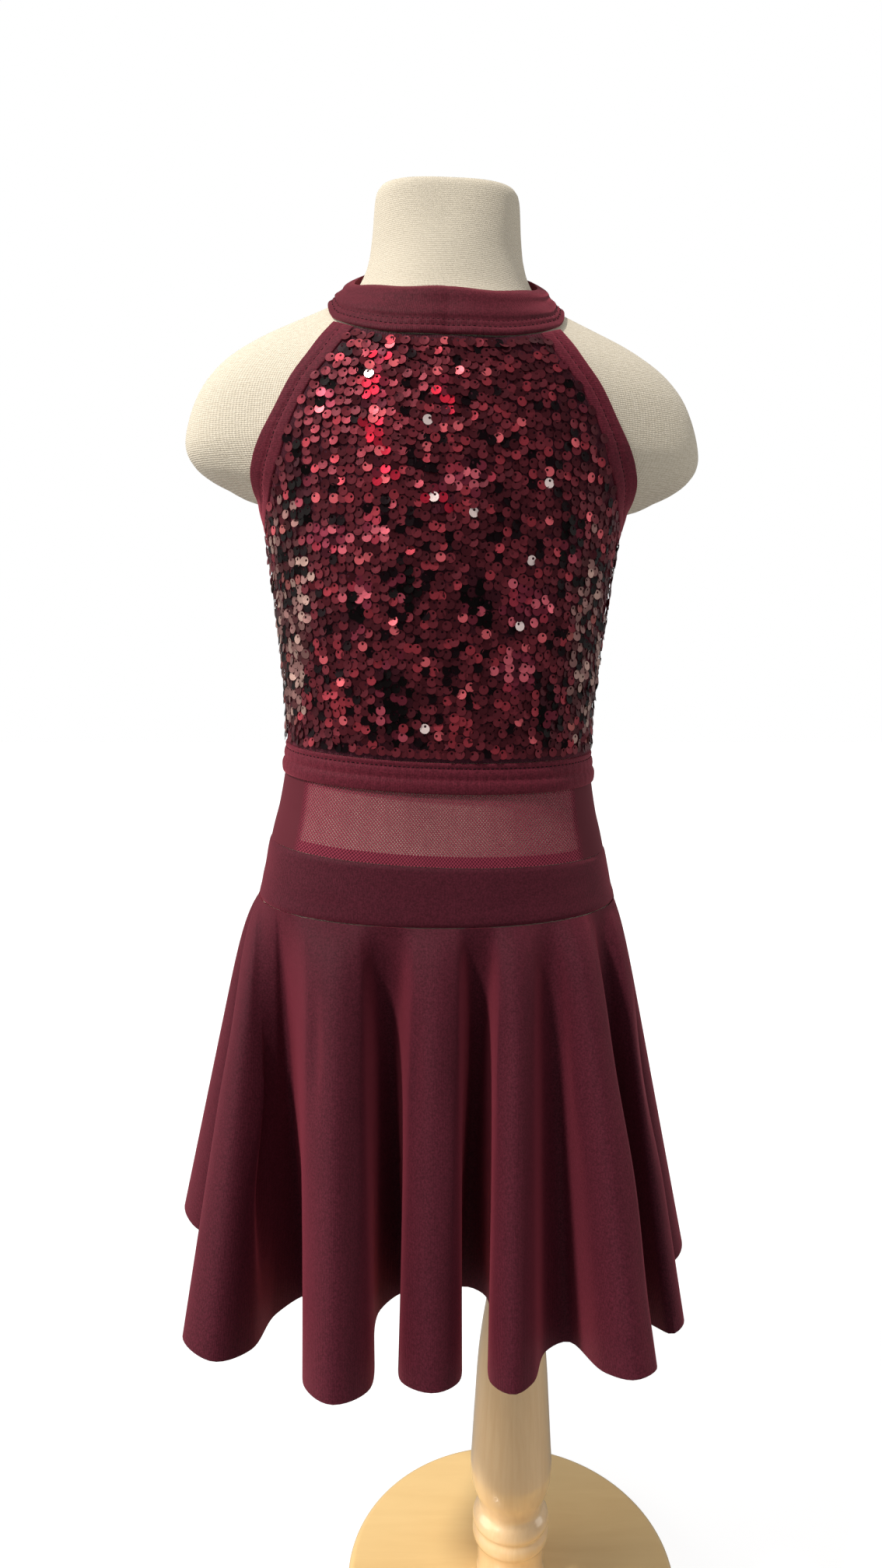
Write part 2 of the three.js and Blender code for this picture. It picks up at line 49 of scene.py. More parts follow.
# Far lamps, named as the viewer sees them: the direction that each shines from, its spread in
# degrees and its strength.
LAMPS = (("key", (-0.50, -0.38, 0.77), 6.0, 2.8),
         ("top", (0.10, 0.30, 0.95), 30.0, 0.15),
         ("left_side", (-0.92, -0.05, 0.35), 40.0, 1.1),
         ("right_side", (0.95, 0.05, 0.30), 25.0, 0.35))
LAMP_COLOUR = "#fffaf3"
# The room's light on the object, where the camera sees 1.0, and the floor.
ROOM_LIGHT = 0.36
FLOOR = {"colour": "#969696", "glow": 0.85, "reach": 6.0}

# The form and dress stand beside the stem's axis, turned a little. They sway to their left as
# they rise, and above the yoke they lean that way too.
FORM_PLACE = (-52.5, 6.0)
TURN = math.radians(1.5)
SWAY = 0.016
HIP_HEIGHT = 512.0
LEAN = 0.027

# The gaps at the seams, under the collar and beside the binding, and where the side seams and
# the underarms are, in degrees from the centre front.
SEAM = 0.3
COLLAR_CLEARANCE = 0.8
PANEL_GAP = 0.75
SIDE_SEAM = 97.0
UNDERARM = 92.0

# How far each cloth's face stands off the form, and its thickness or its inner face.
Cloth = namedtuple("Cloth", "out wall")
PANEL = Cloth(2.6, 1.0)
MESH_TUBE = Cloth(1.75, 0.6)
ALLOWANCE = Cloth(1.0, 0.4)
YOKE = Cloth(2.4, 1.2)
Trim = namedtuple("Trim", "inner outer")
BINDING = Trim(1.5, 3.8)
BAND = Trim(1.0, 3.8)
# How deep a row of stitches draws a trim in, how much it puckers there, and a stitch's size.
GROOVE = 0.9
PUCKER = 0.15
STITCH = {"pitch": 3.0, "half_length": 1.08, "half_width": 0.46, "half_height": 0.3}

# The mesh tube's width and height in metres, the yoke's allowance behind it, and where the tube is
# closed: the middle of each closed side, half its width and where its soft edge ends, in degrees.
MESH_SIZE = (0.58, 0.043)
ALLOWANCE_HEIGHT = 6.5
MESH_CLOSED = (80.5, 19.5, 22.5)

# Seams round the dress: the height at the sides, how far that is lower in front and higher behind,
# and how much higher on the left.
Ring = namedtuple("Ring", "side dip rise")
BAND_TOP = Ring(614, 4.5, -0.6)
BAND_BOTTOM = Ring(595.3, 4.6, -0.7)
YOKE_TOP = Ring(552, 4, -1.2)
YOKE_BOTTOM = Ring(517.3, 4.4, -1)

# The torso: half its width, its depth in front and behind, and how square its oval is.
Level = namedtuple("Level", "z width front back square")
TORSO = [Level(*row) for row in (
    (440, 98, 64, 72, 2.3), (470, 106, 73, 81, 2.3), (512, 113.5, 80, 88, 2.3),
    (526, 110.5, 79, 86, 2.3), (546, 106.5, 76.5, 80, 2.3), (560, 103.4, 74.5, 77, 2.3),
    (575, 99.6, 73, 74, 2.3), (600, 95.5, 72, 71.5, 2.3), (620, 93.8, 73, 72, 2.3),
    (641, 94.4, 75, 74, 2.3), (666, 96.6, 77, 77, 2.3), (690, 99.3, 79, 80, 2.3),
    (720, 103, 80.5, 83, 2.3), (739, 105.8, 80.5, 84, 2.3), (757, 109.2, 80, 84, 2.3),
    (775, 112, 78.5, 83, 2.3), (800, 111, 74.5, 80, 2.3), (825, 105, 69, 75, 2.3),
    (845, 91, 63.5, 69, 2.3), (857, 76, 59, 64, 2.3), (866, 65, 55, 60, 2.3),
    (874, 57, 51.5, 56.5, 2.3), (882, 52, 48, 53, 2.2), (893, 49, 45, 49.5, 2.1),
    (906, 46.6, 42, 46.5, 2.1), (920, 44.8, 38.5, 44, 2.4), (932, 43.9, 36, 42.5, 2.7),
    (939, 43.1, 34.5, 41.5, 2.9), (942.6, 41.6, 33, 39.5, 2.9), (944.6, 38.4, 30, 36, 2.9),
    (945.6, 31, 24, 29, 2.9))]
FORM_TOP = 946.0

# The shoulder caps: how far they reach from the centre line, and half their depth. Then how sharply
# they meet the torso, on the form and under the cloth, and how square they are.
Cap = namedtuple("Cap", "z reach depth")
SHOULDER_CAPS = [Cap(*row) for row in (
    (740, 30, 12), (757, 80, 20), (763, 117, 26), (766, 124, 30), (771, 137, 35), (776, 146, 39),
    (780, 151, 41), (787, 156, 44), (796, 157.5, 46.5), (812, 154, 48), (826, 148, 48),
    (837, 140, 46), (847, 129, 43), (857, 113, 39), (866, 94, 34), (874, 76, 29), (880, 63, 25),
    (886, 52, 21), (893, 44, 18), (906, 30, 14))]
FORM_BLEND = 8.0
CLOTH_BLEND = 5.5
CAP_SQUARE = 2.4

# The armhole binding's edges on the front half, from the collar down to the underarm.
Armhole = namedtuple("Armhole", "at outer_deg outer_z inner_deg inner_z")
ARMHOLE = [Armhole(i, *row) for i, row in enumerate((
    (55.3, 859, 43.7, 852), (55.6, 843, 47, 838), (58, 827, 51, 824), (60.7, 811, 54.2, 809.5),
    (63.7, 798, 56.8, 796), (67, 786, 59.3, 782.5), (71, 773.5, 64, 769), (77.5, 760, 71.5, 754),
    (85, 752, 80.5, 742), (92, 749, 92, 737)))]

# The collar's lower and upper edges round half the neck, from the centre front to the back. Then
# how proud its face stands from foot to top, and where its stitches run.
CollarEdge = namedtuple("CollarEdge", "deg low_z low_r high_z high_r")
COLLAR = [CollarEdge(*row) for row in (
    (0, 848.3, 67, 877, 54), (30, 850, 73.2, 878, 56.2), (60, 862, 76.5, 884, 57.5),
    (75, 874.5, 73.5, 888.5, 57.7), (90, 881.5, 68.3, 894.5, 57), (105, 883.5, 64, 902, 55.5),
    (120, 884, 61, 908, 53.5), (150, 884, 58.5, 914, 51), (180, 884, 57, 916, 49.8))]
CollarFace = namedtuple("CollarFace", "up proud")
COLLAR_FACE = [CollarFace(*row) for row in (
    (0, -0.6), (0.04, 0.6), (0.09, 1.0), (0.14, 0.6), (0.19, -0.6), (0.23, 0.2), (0.27, 0.2),
    (0.31, -0.6), (0.37, 0.6), (0.46, 1.3), (0.58, 1.1), (0.7, 1.4), (0.82, 2.4), (0.92, 2.2),
    (1, -0.4))]
COLLAR_STITCHES = {"upper": 0.3, "lower": 0.18}
COLLAR_WALL = 2.6

# The skirt's folds at the hem, from its right front round by the left: the fold's first shoulder,
# tip and second shoulder and the valley's two ends, each as x and y, then the degrees of tip and
# valley up at the seam and how far the fold springs out under the seam.
Fold = namedtuple("Fold", "first tip second valley turn tip_deg valley_deg spring")
FOLDS = [Fold(*row) for row in (
    ((-147, -112), (-126, -134), (-107, -116), (-97, -76), (-79, -57), -80, -65, 0.13),
    ((-72, -153), (-55, -175), (-37, -156), (-33, -70), (-17, -54), -40, -23, 0.15),
    ((-19, -146), (-2, -161), (13, -147), (18, -49), (34, -56), 0, 15, 0.15),
    ((31, -148), (42, -163), (54, -150), (66, -114), (80, -106), 31, 40, 0.15),
    ((95, -146), (109, -161), (123, -150), (109, -82), (118, -74), 51, 62, 0.14),
    ((133, -100), (141, -112), (151, -98), (118, -48), (120, -34), 72, 82, 0.11),
    ((159, -34), (171, -12), (165, 12), (117, 30), (114, 46), 96, 109, 0.11),
    ((152, 66), (144, 96), (120, 110), (88, 76), (76, 88), 125, 138, 0.15),
    ((86, 146), (62, 164), (38, 154), (27, 98), (12, 100), 155, 171, 0.15),
    ((4, 158), (-20, 172), (-42, 158), (-39, 100), (-54, 96), 187, 201, 0.15),
    ((-76, 142), (-100, 148), (-118, 126), (-98, 78), (-106, 64), 217, 230, 0.2),
    ((-160, 64), (-176, 40), (-165, 13), (-115, -14), (-113, -34), 252, 265, 0.24))]
# Shallow creases that the folds leave in the cloth: degrees at the seam, the stretch down the
# skirt (past 1 off its hem), half the width in degrees and how far out (or in) it goes.
Crease = namedtuple("Crease", "deg top bottom wide out")
CREASES = [Crease(*row) for row in (
    (-75, 0.18, 0.72, 2.6, -6), (-69.5, 0.25, 1.0, 2.8, 7), (-88, 0.1, 0.5, 3, -3),
    (-47, 0.08, 0.5, 2.6, -3), (-36, 0.3, 0.85, 2.2, -2.5), (-7, 0.1, 0.55, 2.6, -3),
    (4.5, 0.25, 0.8, 2.2, 2.5), (27, 0.1, 0.5, 2.2, -3), (47, 0.12, 0.6, 2.2, -3),
    (56, 0.3, 0.9, 2.2, 3), (63.5, 0.12, 1.15, 2.4, -8), (17, 0.1, 1.15, 2.4, -5),
    (75.5, 0.15, 0.7, 2.2, -3), (120, 0.15, 0.7, 3, -3), (150, 0.1, 0.6, 3, -3),
    (192, 0.15, 0.7, 3, -3), (222, 0.2, 0.8, 3, -3), (246, 0.1, 0.6, 3, -3))]
# The skirt's length and thickness, its ease over the yoke and its cut's inner radius. Then the width
# of a valley at the seam, the share of the length in which a fold springs out, how much later a
# valley sinks, and the flare at which both are full.
SKIRT_LENGTH = 250.0
SKIRT_WALL = 1.1
SKIRT_EASE = 2.3
VALLEY_DEGREES = 2.5
SPRING_REACH = 0.07
VALLEY_SINK = 0.35
FULL_FLARE = 60.0

# The turned stem's outline, and its base.
Turning = namedtuple("Turning", "z radius")
STEM_OUTLINE = [Turning(*row) for row in (
    (24.3, 24), (28.3, 23.2), (40, 23.4), (47, 24.6), (51, 26.6), (56, 26.8), (60, 25.4), (64, 26.9),
    (69, 25.6), (73.5, 22), (79, 22.8), (89, 26.4), (99, 28.2), (107, 28.4), (120, 27.6),
    (152, 25.8), (188, 23.6), (211, 20.9), (228, 18.3), (246, 16), (270, 14.6), (300, 14),
    (439.7, 14))]
BASE_RADIUS = 115.5
BASE_HEIGHT = 24.0
BASE_EDGE = 5.0

# A round sequin, and the vertical strings of them: their distances, how far they keep from the
# panel's sides, bottom and top, and how unevenly each one lies. It is turned on each axis by an
# angle with a mean and a spread.
SEQUIN = {"radius": 2.9, "hole": 0.8, "hole_up": 1.4, "cup": 0.12, "thickness": 0.12, "sides": 14}
STRINGS = {"pitch": 5.4, "gap": 5.1, "girth_radius": 97, "side_degrees": 1.2, "bottom": 2.4,
           "top": 1.6, "net": 2.7, "lift": 0.95}
UNEVEN = {"string": 0.5, "up": 0.8, "across": 0.9, "chest_radius": 105, "lift": (-0.25, 0.45)}
SEQUIN_TURNS = {"X": (-5, 6), "Y": (0, 7), "Z": (0, 35)}
SEED = 11
# The patches of painted reflection, where the sequins are coloured as if they caught the light
# alike: how far to the left of the centre front, height, half width and half height, and the shades
# there. Then the single sequins painted with a bright glint, as x and z.
Patch = namedtuple("Patch", "x z wide high shades")
SEQUIN_PAINTED_REFLECTION_PATCHES = [Patch(*row) for row in (
    (-38, 812, 7, 34, "red"), (-34, 772, 9, 8, "red"), (-2, 808, 5, 20, "red"),
    (-5, 757, 9, 8, "red"), (-62, 735, 12, 9, "pink"), (-38, 738, 9, 9, "pink"),
    (46, 702, 14, 13, "pink"), (40, 662, 12, 14, "pink"), (-48, 705, 8, 9, "pink"),
    (8, 770, 14, 9, "pink"), (-22, 707, 9, 12, "painted_dark"), (17, 703, 9, 18, "painted_dark"),
    (-27, 645, 12, 26, "painted_dark"), (-49, 690, 7, 13, "painted_dark"), (72, 832, 10, 20, "painted_dark"),
    (-64, 815, 6, 12, "painted_dark"), (-80, 762, 6, 24, "painted_dark"), (60, 640, 9, 13, "painted_dark"),
    (70, 738, 7, 14, "painted_dark"), (-88, 690, 15, 66, "side"), (84, 676, 13, 60, "side"))]
SEQUIN_PAINTED_GLINTS = ((-3, 850), (-13, 799), (-7, 757), (13, 749), (42, 687), (-10, 630), (55, 767),
                 (-40, 825), (-78, 776), (48, 727))
# The least share of a patch's reach that it always covers, and how ragged its edge is.
PATCH_EDGE = (0.7, 0.5)
# The painted shades in each kind of patch, each with its share of the sequins. The film is one
# burgundy, and these shades paint the light that it catches: red, pink and bright glints, dark
# reflections, the pale surroundings seen at a slant at the sides, and a spread of them everywhere
# else.
SEQUIN_PAINTED_REFLECTION_SHADES = {
    "ground": (("#12050a", 0.09), ("#471820", 0.27), ("#5d222b", 0.3), ("#722a34", 0.22),
               ("#96343f", 0.09), ("#d8636c", 0.03)),
    "red": (("#4b1a26", 0.1), ("#7b2536", 0.3), ("#b02238", 0.3), ("#d92a42", 0.14),
            ("#e0646e", 0.16)),
    "pink": (("#4b1a26", 0.18), ("#75293a", 0.32), ("#a03646", 0.26), ("#cf6270", 0.24)),
    "painted_dark": (("#080304", 0.52), ("#3a141d", 0.2), ("#6a2433", 0.2), ("#b04c5c", 0.08)),
    "side": (("#0c0507", 0.22), ("#4a2528", 0.2), ("#8a6562", 0.36), ("#b39289", 0.18),
             ("#94504e", 0.04)),
    "painted_glint": (("#ffe9e6", 1.0),)}

# A wave texture of this scale has one band for each unit.
ONE_BAND = 0.318


def srgb(code):
    """A six-figure hex colour as linear red, green, blue and alpha."""
    shares = [int(code[i:i + 2], 16) / 255 for i in (1, 3, 5)]
    return [c / 12.92 if c <= 0.04045 else ((c + 0.055) / 1.055) ** 2.4 for c in shares] + [1.0]


def add_node(owner, kind, inputs=None, **settings):
    """Adds a shader node with its settings to a material or the world. An input takes a value, a
    socket, or a node, whose first output in use it then reads."""
    tree = owner.node_tree
    node = tree.nodes.new("ShaderNode" + kind)
    for name, value in settings.items():
        setattr(node, name, value)
    for key, value in (inputs or {}).items():
        if isinstance(value, bpy.types.Node):
            value = next(socket for socket in value.outputs if socket.enabled)
        if isinstance(value, bpy.types.NodeSocket):
            tree.links.new(value, node.inputs[key])
        else:
            node.inputs[key].default_value = value
    return node


def new_material(name):
    material = bpy.data.materials.new(name)
    material.use_nodes = True
    material.node_tree.nodes.clear()
    return material


def finish_material(material, surface, bump=None, **inputs):
    """The principled surface of a material, with its bump, joined to the output."""
    values = {key.replace("_", " "): value for key, value in inputs.items()}
    if bump is not None:
        values["Normal"] = bump
    shader = add_node(material, "BsdfPrincipled", {"Base Color": surface, **values})
    add_node(material, "OutputMaterial", {"Surface": shader})
    return material


def on_cloth(material, per_u, per_v):
    """Places on the piece's own UV map, counted in repeats of a pattern for each metre."""
    uv = add_node(material, "UVMap", uv_map="cloth")
    return add_node(material, "Mapping", {"Vector": uv, "Scale": (per_u, per_v, 1.0)})


def knitted(name, lit, shade, wales_mm=1.1, sheen=0.8, roughness=0.62, bump=0.3):
    """Polyester and elastane jersey, knitted fine and dyed in the piece: matte with a soft bloom
    along the folds. Its wales, really 0.5 mm apart, and the fibre's flecks are drawn about 1 mm
    wide so that they show. The dye is cloudy over some 45 mm."""
    material = new_material(name)
    place = add_node(material, "TexCoord").outputs["Object"]
    per_metre = 1 / (wales_mm * MM)
    wales = add_node(material, "TexWave",
                     {"Vector": on_cloth(material, per_metre, per_metre), "Scale": ONE_BAND,
                      "Distortion": 1.2, "Detail": 2.0, "Detail Scale": 2.0}, bands_direction="X")
    grain = add_node(material, "TexNoise", {"Vector": place, "Scale": 900.0, "Detail": 3.0,
                                            "Roughness": 0.65})
    fleck = add_node(material, "MapRange", {"Value": grain, "From Min": 0.36, "From Max": 0.66,
                                            "To Min": 0.55, "To Max": 1.45})
    cloudy = add_node(material, "TexNoise", {"Vector": place, "Scale": 22.0, "Detail": 3.0,
                                             "Roughness": 0.55})
    tint = add_node(material, "Mix", {0: cloudy, 6: srgb(shade), 7: srgb(lit)}, data_type="RGBA")
    colour = add_node(material, "Mix", {0: 0.8, 6: tint, 7: fleck}, data_type="RGBA",
                      blend_type="MULTIPLY")
    height = add_node(material, "Math", {0: wales.outputs["Fac"], 1: grain}, operation="ADD")
    relief = add_node(material, "Bump", {"Height": height, "Strength": bump, "Distance": 0.00025})
    return finish_material(material, colour, relief, Roughness=roughness, Sheen_Weight=sheen,
                           Sheen_Roughness=0.45, Sheen_Tint=srgb("#cf5a6c"), Specular_IOR_Level=0.1)


def sheer_mesh():
    """Power mesh of burgundy nylon: a fine even net, so the linen shows through its holes. At the
    sides it is closed. Its holes, really 1.1 mm apart, are drawn 2.2 mm apart so that they show."""
    material = new_material("nylon_power_mesh")
    turns = 2 * math.pi / (2.2 * MM)
    middle, closed_to, soft_to = (MESH_SIZE[0] * degrees / 360 for degrees in MESH_CLOSED)
    split = add_node(material, "SeparateXYZ", {0: on_cloth(material, turns, turns)})
    metres = add_node(material, "SeparateXYZ", {0: on_cloth(material, 1.0, 1.0)})
    from_front = add_node(material, "Math", {0: metres.outputs["X"], 1: MESH_SIZE[0] / 2},
                          operation="SUBTRACT")
    either_side = add_node(material, "Math", {0: from_front}, operation="ABSOLUTE")
    from_side = add_node(material, "Math", {0: either_side, 1: middle}, operation="SUBTRACT")
    off_side = add_node(material, "Math", {0: from_side}, operation="ABSOLUTE")
    closed = add_node(material, "MapRange", {"Value": off_side, "From Min": closed_to,
                                             "From Max": soft_to, "To Min": 1.0, "To Max": 0.0})
    across = add_node(material, "Math", {0: split.outputs["X"]}, operation="SINE")
    along = add_node(material, "Math", {0: split.outputs["Y"]}, operation="SINE")
    cells = add_node(material, "Math", {0: across, 1: along}, operation="MULTIPLY")
    thread = add_node(material, "MapRange", {"Value": cells, "From Min": -0.4, "From Max": 0.25,
                                             "To Min": 1.0, "To Max": 0.14})
    cover = add_node(material, "Math", {0: thread, 1: closed}, operation="MAXIMUM")
    place = add_node(material, "TexCoord").outputs["Object"]
    cloudy = add_node(material, "TexNoise", {"Vector": place, "Scale": 30.0, "Detail": 2.0})
    sheer = add_node(material, "Mix", {0: cloudy, 6: srgb("#8a3247"), 7: srgb("#993d50")},
                     data_type="RGBA")
    colour = add_node(material, "Mix", {0: closed, 6: sheer, 7: srgb("#5c222d")}, data_type="RGBA")
    return finish_material(material, colour, Roughness=0.6, Alpha=cover, Sheen_Weight=0.3,
                           Sheen_Roughness=0.4, Sheen_Tint=srgb("#d2495f"), Specular_IOR_Level=0.1)


def linen():
    """Natural linen, plain woven and stretched over the form: warm white, matte, with slubs of 1 to
    2 mm. Its 0.7 mm threads are drawn 1.2 mm apart so that they show."""
    material = new_material("woven_linen")
    place = add_node(material, "TexCoord").outputs["Object"]
    threads = 1 / (1.2 * MM)
    uneven = {"Vector": on_cloth(material, threads, threads), "Scale": ONE_BAND,
              "Distortion": 2.5, "Detail": 3.0, "Detail Scale": 1.5}
    warp, weft = (add_node(material, "TexWave", uneven, bands_direction=direction)
                  for direction in "XY")
    weave_height = add_node(material, "Math", {0: warp.outputs["Fac"], 1: weft.outputs["Fac"]},
                            operation="ADD")
    slubs = add_node(material, "TexNoise", {"Vector": on_cloth(material, 420.0, 760.0),
                                            "Scale": 1.0, "Detail": 5.0, "Roughness": 0.75})
    knots = add_node(material, "MapRange", {"Value": slubs, "From Min": 0.36, "From Max": 0.66})
    cloudy = add_node(material, "TexNoise", {"Vector": place, "Scale": 14.0, "Detail": 3.0})
    ground = add_node(material, "Mix", {0: cloudy, 6: srgb("#e4d9c4"), 7: srgb("#efe6d3")},
                      data_type="RGBA")
    slubbed = add_node(material, "Mix", {0: knots, 6: srgb("#d0c5ae"), 7: srgb("#f8efdd")},
                       data_type="RGBA")
    colour = add_node(material, "Mix", {0: 0.5, 6: ground, 7: slubbed}, data_type="RGBA")
    height = add_node(material, "Math", {0: weave_height, 1: slubs}, operation="ADD")
    relief = add_node(material, "Bump", {"Height": height, "Strength": 0.45, "Distance": 0.0004})
    return finish_material(material, colour, relief, Roughness=0.85, Sheen_Weight=0.15,
                           Sheen_Roughness=0.5, Specular_IOR_Level=0.2)


def lacquered_wood(name, grain_scale, pale, grained, patches):
    """Pale rubberwood, turned, sanded and clear lacquered: fine darker grain under an even gloss.
    grain_scale counts the grain's streaks for each metre, fewer along the piece than across it."""
    material = new_material(name)
    place = add_node(material, "TexCoord").outputs["Object"]
    stretched = add_node(material, "Mapping", {"Vector": place, "Scale": grain_scale})
    grain = add_node(material, "TexNoise", {"Vector": stretched, "Scale": 1.0, "Detail": 6.0,
                                            "Roughness": 0.6, "Distortion": 0.4})
    cloudy = add_node(material, "TexNoise", {"Vector": place, "Scale": 9.0, "Detail": 2.0})
    streaks = add_node(material, "MapRange", {"Value": grain, "From Min": 0.4, "From Max": 0.66})
    wood = add_node(material, "Mix", {0: streaks, 6: srgb(pale), 7: srgb(grained)},
                    data_type="RGBA")
    colour = add_node(material, "Mix", {0: cloudy, 6: wood, 7: srgb(patches)}, data_type="RGBA")
    relief = add_node(material, "Bump", {"Height": grain, "Strength": 0.08, "Distance": 0.0002})
    return finish_material(material, colour, relief, Roughness=0.32, Coat_Weight=0.8,
                           Coat_Roughness=0.08)


def sequin_foil():
    """Round sequins punched from burgundy metallised film: a satin gloss, crinkled over 2 to 3 mm.
    Each one is painted with its own reflection, a shade for the light that it would catch, kept on
    the mesh as a colour attribute."""
    material = new_material("sequin_film_painted_reflections")
    foil = add_node(material, "Attribute", attribute_name="foil")
    place = add_node(material, "TexCoord").outputs["Object"]
    crinkle = add_node(material, "TexNoise", {"Vector": place, "Scale": 420.0, "Detail": 1.0})
    relief = add_node(material, "Bump", {"Height": crinkle, "Strength": 0.2, "Distance": 0.0004})
    return finish_material(material, foil, relief, Roughness=0.46, Metallic=0.7,
                           Specular_IOR_Level=0.2)


def eased(rows, by, key, at):
    """A smooth value from a table: its column key where its column by is at."""
    last = len(rows) - 1
    at = min(max(at, getattr(rows[0], by)), getattr(rows[last], by))
    i = 0
    while i < last - 1 and at > getattr(rows[i + 1], by):
        i += 1

    def slope(k):
        low, high = rows[max(k - 1, 0)], rows[min(k + 1, last)]
        return (getattr(high, key) - getattr(low, key)) / (getattr(high, by) - getattr(low, by))

    span = getattr(rows[i + 1], by) - getattr(rows[i], by)
    t = (at - getattr(rows[i], by)) / span
    start = (1 + 2 * t) * (1 - t) ** 2 * getattr(rows[i], key)
    end = t * t * (3 - 2 * t) * getattr(rows[i + 1], key)
    return start + end + t * (1 - t) * ((1 - t) * slope(i) - t * slope(i + 1)) * span


def mix(a, b, t):
    return a + (b - a) * t


def oval_radius(angle, width, depth, square):
    """Distance from the centre to a rounded oval, at an angle from the front. The oval is an
    ellipse where square is 2."""
    across = abs(math.sin(angle) / width) ** square
    along = abs(math.cos(angle) / depth) ** square
    return (across + along) ** (-1 / square)


def form_radius(angle, z, blend=FORM_BLEND):
    """Distance from the form's centre line to its surface: the torso and the shoulder caps,
    blended. The cloth bridges the hollow between them with a lower blend."""
    depth = eased(TORSO, "z", "front" if math.cos(angle) > 0 else "back", z)
    width, square = (eased(TORSO, "z", key, z) for key in ("width", "square"))
    torso = oval_radius(angle, width, depth, square)
    if z <= SHOULDER_CAPS[0].z or z >= SHOULDER_CAPS[-1].z:
        return torso
    reach = eased(SHOULDER_CAPS, "z", "reach", z)
    cap = oval_radius(angle, reach, eased(SHOULDER_CAPS, "z", "depth", z), CAP_SQUARE)
    return (torso ** blend + cap ** blend) ** (1 / blend)


def placed(x, y, z):
    """A point of the form or dress, in metres in the row frame. The lean grows up the yoke."""
    up = (z - YOKE_BOTTOM.side) / (YOKE_TOP.side - YOKE_BOTTOM.side)
    leaned = z - LEAN * min(max(up, 0.0), 1.0) * x
    x += SWAY * (z - HIP_HEIGHT)
    return Vector((x * math.cos(TURN) - y * math.sin(TURN) + FORM_PLACE[0],
                   x * math.sin(TURN) + y * math.cos(TURN) + FORM_PLACE[1], leaned)) * MM


def polar(angle, radius, z):
    return placed(radius * math.sin(angle), -radius * math.cos(angle), z)


def on_dress(angle, z, out):
    return polar(angle, form_radius(angle, z, CLOTH_BLEND) + out, z)


def round_angle(u):
    """The angle from the centre front, a share of the way round from the centre back."""
    return 2 * math.pi * (u - 0.5)


def around(angle, height, roughness):
    """Smooth noise that has no seam round the body."""
    place = Vector((math.sin(angle), math.cos(angle), height))
    return noise.noise(place * roughness)


def level_at(ring, angle):
    return ring.side - ring.dip * math.cos(angle) + ring.rise * math.sin(angle)


def folded_degrees(angle):
    """The angle from the centre front, from 0 to 180 degrees on either side."""
    return abs(math.degrees(math.atan2(math.sin(angle), math.cos(angle))))


def collar_edge(key, angle):
    return eased(COLLAR, "deg", key, folded_degrees(angle))


def armhole_station(share):
    """The binding's edges a share of the way round the armhole, from the front of the collar
    under the arm to the back. The back half mirrors the front and is stretched to the collar."""
    last = ARMHOLE[-1].at
    is_back = share > 0.5
    along = (2 - 2 * share if is_back else 2 * share) * last
    station = {}
    for side in ("outer", "inner"):
        degrees = eased(ARMHOLE, "at", side + "_deg", along)
        first = getattr(ARMHOLE[0], side + "_deg")
        top, under = getattr(ARMHOLE[0], side + "_z"), getattr(ARMHOLE[-1], side + "_z")
        if is_back:
            degrees, first = 2 * UNDERARM - degrees, 2 * UNDERARM - first
        reach = collar_edge("low_z", math.radians(first)) - COLLAR_CLEARANCE - under
        z = under + (eased(ARMHOLE, "at", side + "_z", along) - under) * reach / (top - under)
        station[side] = (degrees, z)
    return station


def add_piece(name, bm, material, replaces=None, sharp=55.0):
    """A finished mesh as a piece of the part: smooth, with only its sharp edges kept."""
    for face in bm.faces:
        face.smooth = True
    for edge in bm.edges:
        edge.smooth = edge.calc_face_angle(0.0) < math.radians(sharp)
    mesh = bpy.data.meshes.new(name)
    bm.to_mesh(mesh)
    bm.free()
    piece = bpy.data.objects.new(name, mesh)
    bpy.context.scene.collection.objects.link(piece)
    mesh.materials.append(material)
    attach(piece, BODY)
    if replaces:
        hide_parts(replaces)
    return piece


def surface_grid(columns, rows, place, size, joins_round=False, joins_over=False):
    """A grid laid on a surface. place(u, v) gives a point for shares u across and v up, size is
    the surface's width and height in metres for its UV map, and a side can join the opposite one."""
    bm = bmesh.new()
    uv_map = bm.loops.layers.uv.new("cloth")
    bmesh.ops.create_grid(bm, x_segments=columns, y_segments=rows, size=0.5)
    joining = []
    for vert in bm.verts:
        u, v = vert.co.x + 0.5, vert.co.y + 0.5
        for loop in vert.link_loops:
            loop[uv_map].uv = (u * size[0], v * size[1])
        if (joins_round and min(u, 1 - u) < 1e-5) or (joins_over and min(v, 1 - v) < 1e-5):
            joining.append(vert)
        vert.co = place(u, v)
    bmesh.ops.remove_doubles(bm, verts=joining, dist=1e-6)
    bmesh.ops.recalc_face_normals(bm, faces=bm.faces)
    return bm


def thicken(bm, wall):
    """Gives a surface a wall of so many millimetres behind its outer face."""
    bmesh.ops.solidify(bm, geom=bm.faces[:], thickness=wall * MM)
    return bm


def close_ends(bm):
    """Fills each open end of a piece with one face."""
    open_edges = [edge for edge in bm.edges if edge.is_boundary]
    bmesh.ops.holes_fill(bm, edges=open_edges, sides=0)


def padded_section(v, inner, outer, roundness=0.35):
    """One point of a trim's closed section: its share across and its distance out. The section
    goes up the outer face and down the inner one, and its edges are rounded."""
    turn = 2 * math.pi * v
    across = 0.5 - 0.5 * math.cos(turn)
    side = math.copysign(abs(math.sin(turn)) ** roundness, math.sin(turn))
    return across, (outer + inner) / 2 + side * (outer - inner) / 2


